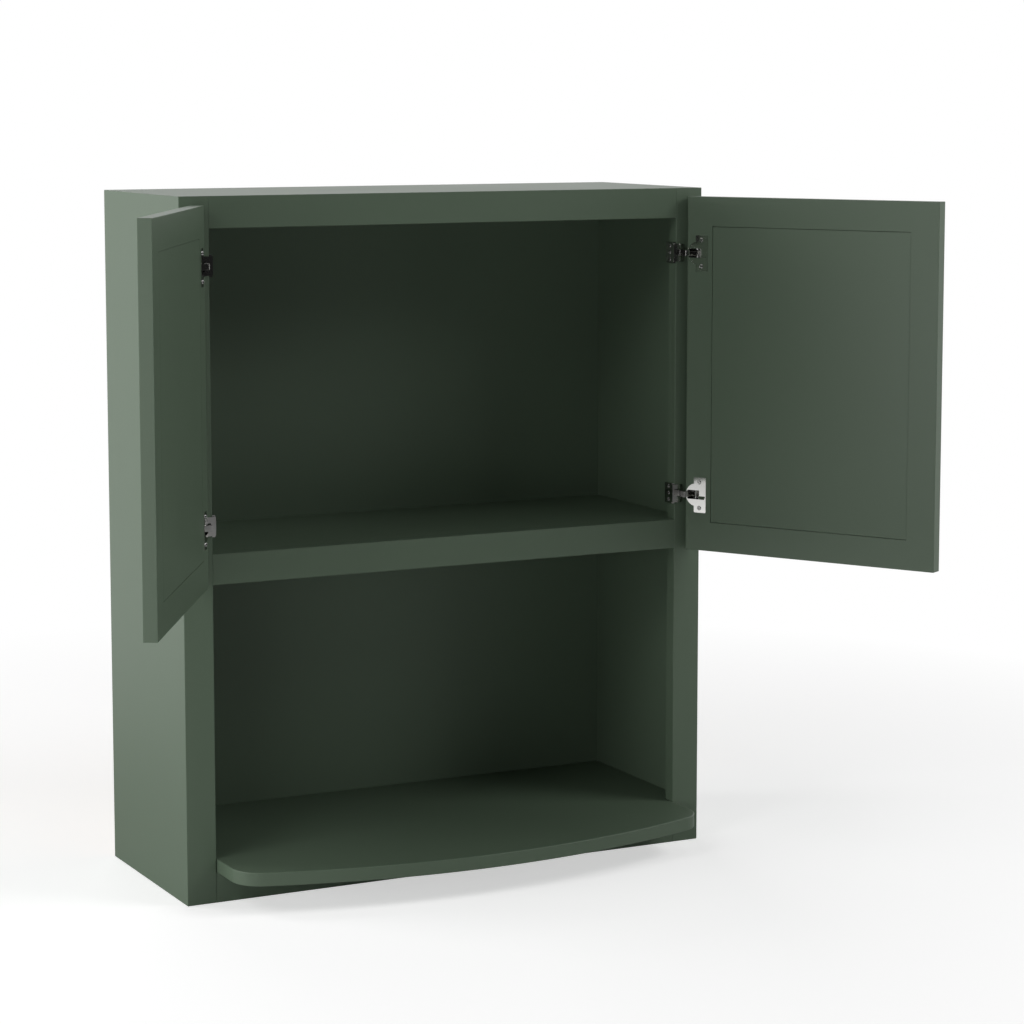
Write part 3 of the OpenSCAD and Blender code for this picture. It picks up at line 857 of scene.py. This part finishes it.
@dataclass
class MicrowaveShelf(Assembly):
    """The bowed shelf, outlined by a rule: a wide rear, a step at the stiles, two corners and a bow."""

    half_width: float = 340 * MM
    frame_back: float = -263 * MM
    bow_radius: float = 974 * MM
    corner_radius: float = 42 * MM
    edge_radius: float = 1.0 * MM
    bow_points: int = 120
    corner_points: int = 40
    most_points: float = 1000.0
    weld: float = 0.01 * MM

    def tree(self) -> Tree:
        """Returns the tree: it draws half of the outline, mirrors it, fills it and gives it a thickness."""
        sizes = ["Half width", "Rear half width", "Rear", "Frame back", "Front", "Bow radius"]
        sizes += ["Corner radius", "Underside", "Thickness"]
        tree = Tree("bowed_shelf", sizes, ["Bow points", "Corner points"])
        stretches = enumerate(self.stretches(tree))
        half = tree.join(*[self.ordered(tree, curve, rank) for rank, curve in stretches])
        order = tree.add("GeometryNodeInputNamedAttribute", {"data_type": "FLOAT"}, Name="order")
        other = tree.moved(half, (0, 0, 0), (-1, 1, 1))
        other = tree.store(other, "order", tree.math("MULTIPLY", order, -1.0))
        points = tree.weld(self.weld, half, other)
        line = tree.add("GeometryNodePointsToCurves", Points=points, Weight=order)
        loop = tree.add("GeometryNodeSetSplineCyclic", Geometry=line, Cyclic=True)
        sheet = tree.add("GeometryNodeFillCurve", {"mode": "NGONS"}, Curve=loop)
        top = tree.add(
            "GeometryNodeExtrudeMesh", Mesh=sheet, Offset=tree.vector(z=1.0),
            Offset_Scale=tree.given("Thickness"), Individual=False,
        )
        underside = tree.add("GeometryNodeFlipFaces", Mesh=sheet)
        board = tree.weld(self.weld, top, underside)
        tree.end(tree.moved(board, tree.vector(z=tree.given("Underside"))))
        return tree

    @staticmethod
    def stretches(tree: Tree) -> list[Socket]:
        """Draws the right half of the outline from the middle of the bow to the rear.

        Args:
            tree: The shelf's tree.

        Returns:
            The half bow, the corner, the side in front of the frame and the side behind it.
        """
        given = tree.given
        quarter = math.pi / 2
        bow_y = tree.math("ADD", given("Front"), given("Bow radius"))
        reach = tree.math("SUBTRACT", given("Bow radius"), given("Corner radius"))
        corner_x = tree.math("SUBTRACT", given("Half width"), given("Corner radius"))
        square = tree.math("SUBTRACT", tree.math("POWER", reach, 2.0), tree.math("POWER", corner_x, 2.0))
        corner_y = tree.math("SUBTRACT", bow_y, tree.math("SQRT", square))
        half_angle = tree.math("ARCSINE", tree.math("DIVIDE", corner_x, reach))
        bow = tree.add(
            "GeometryNodeCurveArc", Resolution=given("Bow points"), Radius=given("Bow radius"),
            Start_Angle=-quarter, Sweep_Angle=half_angle,
        )
        corner = tree.add(
            "GeometryNodeCurveArc", Resolution=given("Corner points"), Radius=given("Corner radius"),
            Start_Angle=tree.math("SUBTRACT", half_angle, quarter),
            Sweep_Angle=tree.math("SUBTRACT", quarter, half_angle),
        )
        side, wing = (
            tree.add(
                "GeometryNodeCurvePrimitiveLine", Start=tree.vector(given(width), start),
                End=tree.vector(given(width), given(end)),
            )
            for width, start, end in (
                ("Half width", corner_y, "Frame back"), ("Rear half width", given("Frame back"), "Rear")
            )
        )
        bow = tree.moved(bow, tree.vector(y=bow_y))
        return [bow, tree.moved(corner, tree.vector(corner_x, corner_y)), side, wing]

    def ordered(self, tree: Tree, curve: Socket, rank: int) -> Socket:
        """Turns a stretch of the outline into points that know their place along it.

        Args:
            tree: The shelf's tree.
            curve: The stretch.
            rank: Which stretch it is, counted from the middle of the bow.

        Returns:
            The points.
        """
        points = tree.add("GeometryNodeCurveToPoints", {"mode": "EVALUATED"}, Curve=curve)
        index = tree.add("GeometryNodeInputIndex")
        return tree.store(points, "order", tree.math("ADD", index, rank * self.most_points))

    def build(self) -> None:
        """Builds the shelf in the place of its node."""
        node = "microwave_shelf"
        low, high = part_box(node)
        piece = self.bench.stand(bpy.data.meshes.new(node), f"painted_{node}")
        self.tree().grow(piece, {
            "Half width": self.half_width, "Rear half width": high.x, "Rear": high.y,
            "Frame back": self.frame_back, "Front": low.y, "Bow radius": self.bow_radius,
            "Corner radius": self.corner_radius, "Underside": low.z, "Thickness": high.z - low.z,
            "Bow points": self.bow_points, "Corner points": self.corner_points,
            "Material": self.finishes.paint,
        })
        self.bench.round_edges(piece, self.edge_radius, by_angle=True)
        self.bench.fasten(piece, node)


@dataclass
class Hinge(Assembly):
    """One concealed hinge: base and arm on the frame, cup, pin and spring on the door."""

    side: Side
    level: Level
    edge_radius: float = 0.18 * MM

    def build(self) -> None:
        """Builds the stamped parts with rounded edges, and finishes the pin and the spring."""
        for part in ("base", "arm", "cup"):
            node = self.name(part)
            piece = self.bench.copy(node, f"plated_{node}", self.finishes.nickel)
            self.bench.round_edges(piece, self.edge_radius, by_angle=True, segments=2)
            self.bench.fasten(piece, node)
        self.bench.finish_node(self.name("pin"), self.finishes.pin)
        self.bench.finish_node(self.name("spring"), self.finishes.spring)

    def name(self, part: str) -> str:
        """Returns the name of one of the hinge's nodes."""
        return f"{self.side.word}_{self.level.value}_hinge_{part}"


@dataclass(frozen=True)
class ScrewKind:
    """The sizes of one kind of screw. Its head's radius is head_low underneath and head_high on top."""

    shank: float
    head_low: float
    head_high: float
    head_height: float
    recess_span: float
    recess_depth: float
    thread_depth: float = 0.45 * MM
    pitch: float = 1.8 * MM


WOOD_SCREW = ScrewKind(1.3 * MM, 1.75 * MM, 3.6 * MM, 2.0 * MM, 4.0 * MM, 1.2 * MM)
BASE_SCREW = ScrewKind(1.25 * MM, 3.1 * MM, 2.55 * MM, 1.0 * MM, 3.4 * MM, 0.7 * MM)
CUP_SCREW = ScrewKind(1.25 * MM, 3.2 * MM, 2.6 * MM, 1.3 * MM, 3.5 * MM, 0.9 * MM)
CLAMP_SCREW = ScrewKind(
    1.3 * MM, 2.9 * MM, 2.4 * MM, 1.0 * MM, 3.2 * MM, 0.7 * MM, thread_depth=0.2 * MM, pitch=0.7 * MM
)


@dataclass
class Screws(Assembly):
    """All the screws, drawn by one tree that puts a threaded screw with a cross recess at each place."""

    edge_radius: float = 0.14 * MM
    head_sides: int = 32
    recess_share: float = 0.25
    shank_sides: int = 16
    tip_share: float = 2.5
    tip_end: float = 0.15
    thread_sides: int = 4
    thread_steps: int = 14
    sort_digits: int = 5

    def __post_init__(self) -> None:
        """Builds the tree that all the screws share."""
        self.tree = self.screw_tree()

    def screw_tree(self) -> Tree:
        """Returns the tree. A screw hangs down from its place, and its head's top is at the place."""
        sizes = ["Shank", "Head low", "Head high", "Head height", "Length"]
        sizes += ["Recess span", "Recess depth", "Thread depth", "Pitch"]
        tree = Tree("screws", sizes, ["Seed"])
        screw = tree.join(self.head(tree), self.shank(tree))
        axis = tree.add("GeometryNodeInputNamedAttribute", {"data_type": "FLOAT_VECTOR"}, Name="axis")
        aim = tree.add("FunctionNodeAlignRotationToVector", {"axis": "Z"}, Vector=axis)
        angle = tree.add(
            "FunctionNodeRandomValue", {"data_type": "FLOAT"}, Min=0.0, Max=math.pi, Seed=tree.given("Seed")
        )
        spin = tree.add("FunctionNodeAxisAngleToRotation", Axis=(0, 0, 1), Angle=angle)
        own = {"rotation_space": "LOCAL"}
        pose = tree.add("FunctionNodeRotateRotation", own, Rotation=aim, Rotate_By=spin)
        places = tree.given("Geometry")
        tree.end(tree.add("GeometryNodeInstanceOnPoints", Points=places, Instance=screw, Rotation=pose))
        return tree

    def head(self, tree: Tree) -> Socket:
        """Makes the head, sinks the cross into it and marks its sharp edges for rounding.

        Args:
            tree: The screws' tree.

        Returns:
            The head, which hangs down from the origin.
        """
        given = tree.given
        cone = tree.add(
            "GeometryNodeMeshCone", Vertices=self.head_sides, Radius_Top=given("Head high"),
            Radius_Bottom=given("Head low"), Depth=given("Head height"),
        )
        cone = tree.moved(cone, tree.vector(z=tree.math("MULTIPLY", given("Head height"), -1.0)))
        span, depth = given("Recess span"), given("Recess depth")
        thin = tree.math("MULTIPLY", span, self.recess_share)
        tall = tree.math("MULTIPLY", depth, 2.0)
        bar = tree.add("GeometryNodeMeshCube", Size=tree.vector(span, thin, tall))
        other = tree.add("GeometryNodeMeshCube", Size=tree.vector(thin, span, tall))
        cut = {"operation": "DIFFERENCE", "solver": "EXACT"}
        once = tree.add("GeometryNodeMeshBoolean", cut, Mesh_1=cone, Mesh_2=bar)
        twice = tree.add("GeometryNodeMeshBoolean", cut, Mesh_1=once, Mesh_2=other)
        angle = tree.add("GeometryNodeInputMeshEdgeAngle")
        sharp = tree.math("GREATER_THAN", angle, SHARP_ANGLE)
        return tree.store(twice, "bevel_weight_edge", sharp, "EDGE")

    def shank(self, tree: Tree) -> Socket:
        """Makes the shank with its point, and winds the thread round it.

        Args:
            tree: The screws' tree.

        Returns:
            The shank, which hangs down from the underside of the head.
        """
        given = tree.given
        radius = given("Shank")
        tip = tree.math("MULTIPLY", radius, self.tip_share)
        run = tree.math("SUBTRACT", tree.math("SUBTRACT", given("Length"), given("Head height")), tip)
        core = tree.add("GeometryNodeMeshCylinder", Vertices=self.shank_sides, Radius=radius, Depth=run)
        core = tree.moved(core, tree.vector(z=tree.math("MULTIPLY", run, 0.5)))
        point = tree.add(
            "GeometryNodeMeshCone", Vertices=self.shank_sides, Radius_Top=radius,
            Radius_Bottom=tree.math("MULTIPLY", radius, self.tip_end), Depth=tip,
        )
        point = tree.moved(point, tree.vector(z=tree.math("MULTIPLY", tip, -1.0)))
        turns = tree.math("DIVIDE", run, given("Pitch"))
        spiral = tree.add(
            "GeometryNodeCurveSpiral", Resolution=self.thread_steps, Rotations=turns,
            Start_Radius=radius, End_Radius=radius, Height=run,
        )
        ridge = tree.add(
            "GeometryNodeCurvePrimitiveCircle", Resolution=self.thread_sides, Radius=given("Thread depth")
        )
        thread = tree.add("GeometryNodeCurveToMesh", Curve=spiral, Profile_Curve=ridge, Fill_Caps=True)
        foot = tree.math("SUBTRACT", tip, given("Length"))
        return tree.moved(tree.join(core, point, thread), tree.vector(z=foot))

    def places(
        self, node: str, toward: Callable[[Vector], Vector]
    ) -> tuple[list[tuple[Vector, Vector]], float]:
        """Finds where each screw of a node has its head, and how long the screws are.

        Args:
            node: The node, whose screws are separate solids.
            toward: Gives the way that a head points, from a point of its screw.

        Returns:
            Each screw's place and direction, and their overall length.
        """
        work = self.bench.welded(node)
        left = set(work.verts)
        found, length = [], 0.0
        while left:
            solid, queue = set(), [next(iter(left))]
            while queue:
                vert = queue.pop()
                if vert not in solid:
                    solid.add(vert)
                    queue += [edge.other_vert(vert) for edge in vert.link_edges]
            left -= solid
            axis = toward(next(iter(solid)).co)
            across = axis.orthogonal().normalized()
            place = Vector()
            for way in (axis, across, axis.cross(across)):
                reach = [vert.co.dot(way) for vert in solid]
                place += way * (max(reach) if way is axis else (max(reach) + min(reach)) / 2)
            span = [vert.co.dot(axis) for vert in solid]
            length = max(span) - min(span)
            found.append((place, axis))
        work.free()
        return sorted(found, key=lambda row: [round(value, self.sort_digits) for value in row[0]]), length

    def build(self, node: str, kind: ScrewKind, toward: Callable[[Vector], Vector], seed: int) -> None:
        """Builds the screws of one node.

        Args:
            node: The node that they stand for.
            kind: The screws' sizes.
            toward: Gives the way that a head points, from a point of its screw.
            seed: Turns the recesses to different angles.
        """
        places, length = self.places(node, toward)
        mesh = bpy.data.meshes.new(node)
        mesh.from_pydata([place for place, _ in places], [], [])
        axes = mesh.attributes.new("axis", "FLOAT_VECTOR", "POINT")
        axes.data.foreach_set("vector", [value for _, axis in places for value in axis])
        piece = self.bench.stand(mesh, f"threaded_{node}")
        self.tree.grow(piece, {
            "Shank": kind.shank, "Head low": kind.head_low, "Head high": kind.head_high,
            "Head height": kind.head_height, "Length": length, "Recess span": kind.recess_span,
            "Recess depth": kind.recess_depth, "Thread depth": kind.thread_depth, "Pitch": kind.pitch,
            "Seed": seed, "Material": self.finishes.zinc,
        })
        self.bench.round_edges(piece, self.edge_radius, by_angle=False, segments=2)
        self.bench.fasten(piece, node)


@dataclass(frozen=True)
class Lamp:
    """A soft box: a rectangular light that looks at a point. It can be kept out of what surfaces mirror."""

    name: str
    place: Triple
    width: float
    height: float
    watts: float
    aim: Triple = (0.0, -0.25, 0.5)
    mirrored: bool = True

    def build(self) -> None:
        """Hangs the lamp in the scene."""
        light = bpy.data.lights.new(self.name, "AREA")
        light.shape = "RECTANGLE"
        light.size = self.width
        light.size_y = self.height
        light.energy = self.watts
        lamp = bpy.data.objects.new(self.name, light)
        lamp.location = self.place
        lamp.rotation_euler = (Vector(self.aim) - Vector(self.place)).to_track_quat("-Z", "Y").to_euler()
        lamp.visible_camera = False
        lamp.visible_glossy = self.mirrored
        bpy.context.scene.collection.objects.link(lamp)
        LOG.info("lamp %s: %.1f W", self.name, self.watts)


@dataclass
class Studio:
    """A pale floor, a white background, soft boxes and the camera. Lens and sensor are in millimetres."""

    camera_place: Triple = (-1674.2 * MM, -3736.3 * MM, 1043.6 * MM)
    camera_turn: float = math.radians(27.04)
    camera_dip: float = math.radians(6.803)
    lens: float = 102.44
    sensor: float = 36.0
    shift: float = -0.07
    dark_tone: float = 0.015
    dark_until: float = -0.5
    white_from: float = 0.0
    floor_size: float = 18.0
    floor_drop: float = 0.2 * MM
    floor_tone: float = 0.8
    floor_glow: float = 0.55
    fade_from: float = 0.7
    fade_to: float = 1.7
    lamps: tuple[Lamp, ...] = (
        Lamp("left_near", (-1.5, 0.7, 1.35), 0.6, 0.6, 6.0, aim=(-0.38, -0.15, 0.75)),
        Lamp("left_rear", (-2.65, 1.15, 1.2), 1.1, 1.0, 6.0),
        Lamp("left_wall", (-3.15, -0.5, 0.6), 1.8, 0.7, 31.0),
        Lamp("left_high", (-2.5, -1.35, 2.25), 1.4, 1.0, 19.0),
        Lamp("left_front", (-2.25, -2.5, 0.55), 1.1, 1.0, 10.5),
        Lamp("front_top", (0.4, -1.8, 3.25), 1.4, 1.0, 5.0),
        Lamp("right_front", (2.1, -1.95, 2.25), 1.6, 1.0, 29.0),
        Lamp("right_low", (2.55, -2.2, 0.55), 1.4, 1.0, 10.5),
        Lamp("rear", (0.4, 2.9, 1.7), 1.8, 1.2, 20.0, aim=(0.0, 0.0, 0.5), mirrored=False),
    )

    def build(self) -> None:
        """Builds the surroundings and sets the view transform."""
        scene = bpy.context.scene
        scene.view_settings.view_transform = "Standard"
        scene.world = self.world()
        self.floor()
        for lamp in self.lamps:
            lamp.build()
        scene.camera = self.camera()

    def camera(self) -> Piece:
        """Makes the camera."""
        data = bpy.data.cameras.new("camera")
        data.lens = self.lens
        data.sensor_width = self.sensor
        data.shift_y = self.shift
        camera = bpy.data.objects.new("camera", data)
        camera.location = self.camera_place
        camera.rotation_euler = (math.pi / 2 - self.camera_dip, 0.0, -self.camera_turn)
        bpy.context.scene.collection.objects.link(camera)
        return camera

    def world(self) -> bpy.types.World:
        """Makes a world that looks white but sheds no light, and is dark in front.

        The dark front is what a glossy surface shows of the unlit half of the studio, behind the camera.
        """
        world = bpy.data.worlds.new("white_room")
        sheet = ShaderSheet(world, "ShaderNodeOutputWorld")
        direction = sheet.node("ShaderNodeTexCoord").outputs["Generated"]
        shown = sheet.math("MAXIMUM", *self.looks(sheet, direction))
        sheet.show(sheet.add("ShaderNodeBackground", Color=WHITE, Strength=shown))
        return world

    def looks(self, sheet: ShaderSheet, way: Socket) -> list[Socket]:
        """Tells how white the surroundings look in a direction to rays that show them.

        Args:
            sheet: The sheet to add to.
            way: The direction, of length 1.

        Returns:
            The share of white for what is seen directly, and for what is seen mirrored.
        """
        depth = sheet.node("ShaderNodeSeparateXYZ", Vector=way).outputs["Y"]
        room = sheet.add(
            "ShaderNodeMapRange", Value=depth, From_Min=self.dark_until, From_Max=self.white_from,
            To_Min=self.dark_tone, To_Max=1.0,
        )
        path = sheet.node("ShaderNodeLightPath").outputs
        seen = sheet.math("MAXIMUM", path["Is Camera Ray"], path["Is Transmission Ray"])
        return [seen, sheet.math("MULTIPLY", path["Is Glossy Ray"], room)]

    def floor(self) -> None:
        """Lays the floor, which keeps the cabinet's shadow nearby and fades to white far away."""
        half = self.floor_size / 2
        mesh = bpy.data.meshes.new("floor")
        corners = [(-half, -half), (half, -half), (half, half), (-half, half)]
        mesh.from_pydata([(x, y, -self.floor_drop) for x, y in corners], [], [(0, 1, 2, 3)])
        mesh.materials.append(self.floor_paper())
        floor = Bench.stand(mesh, "floor")
        floor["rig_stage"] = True

    def floor_paper(self) -> Material:
        """Makes the floor's material: matt paper that also glows a little to rays that show it."""
        sheet = FinishSheet("floor_paper")
        way, reach = (
            sheet.add("ShaderNodeVectorMath", {"operation": operation}, Vector=sheet.place)
            for operation in ("NORMALIZE", "LENGTH")
        )
        seen, mirrored = self.looks(sheet, way)
        fade = sheet.add("ShaderNodeMapRange", Value=reach, From_Min=self.fade_from, From_Max=self.fade_to)
        far = sheet.math("MULTIPLY", sheet.math("MAXIMUM", seen, mirrored), fade)
        near = sheet.math("MULTIPLY", seen, sheet.between(fade, self.floor_glow, 1.0))
        glow = sheet.math("MAXIMUM", near, far)
        tone = sheet.between(far, self.floor_tone, 0.0)
        colour = sheet.add("ShaderNodeCombineColor", Red=tone, Green=tone, Blue=tone)
        paper = sheet.add("ShaderNodeBsdfDiffuse", Color=colour)
        light = sheet.add("ShaderNodeEmission", Color=WHITE, Strength=glow)
        both = sheet.node("ShaderNodeAddShader")
        for socket, shader in zip(both.inputs, (paper, light)):
            sheet.fill(socket, shader)
        sheet.show(both.outputs[0])
        return sheet.material


def write_sizes(before: Sequence[Sequence[float]], after: Sequence[Sequence[float]]) -> None:
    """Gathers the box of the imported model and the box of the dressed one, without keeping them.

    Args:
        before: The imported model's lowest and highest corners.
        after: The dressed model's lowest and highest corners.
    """
    boxes = {
        name: [[float(value) for value in corner] for corner in box]
        for name, box in (("cad", before), ("visual", after))
    }


def inwards(spot: Vector) -> Vector:
    """Returns the way from a side of the cabinet towards its middle, along X."""
    return Vector((-math.copysign(1, spot.x), 0, 0))


def main() -> None:
    """Builds the cabinet and the studio."""
    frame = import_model()
    packed_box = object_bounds()
    bench = Bench(frame)
    finishes = Finishes()
    Studio().build()
    Carcass(bench, finishes).build()
    FaceFrame(bench, finishes).build()
    MicrowaveShelf(bench, finishes).build()
    for side in Side:
        Door(bench, finishes, side).build()
        for level in Level:
            Hinge(bench, finishes, side, level).build()
    screws = Screws(bench, finishes)
    screws.build("back_screws", WOOD_SCREW, lambda spot: Vector((0, 1, 0)), seed=1)
    screws.build("shelf_screws", WOOD_SCREW, lambda spot: Vector((0, 0, -1)), seed=2)
    screws.build("hinge_base_screws", BASE_SCREW, inwards, seed=3)
    screws.build("hinge_clamp_screws", CLAMP_SCREW, inwards, seed=4)
    for seed, side in enumerate(Side, start=5):
        swing = Door(bench, finishes, side).swing().to_3x3()
        screws.build(f"{side.word}_cup_screws", CUP_SCREW, lambda spot: swing @ Vector((0, 1, 0)), seed)
    write_sizes(packed_box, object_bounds())


if __name__ == "__main__":
    logging.basicConfig(level=logging.INFO, format="%(name)s: %(message)s")
    main()
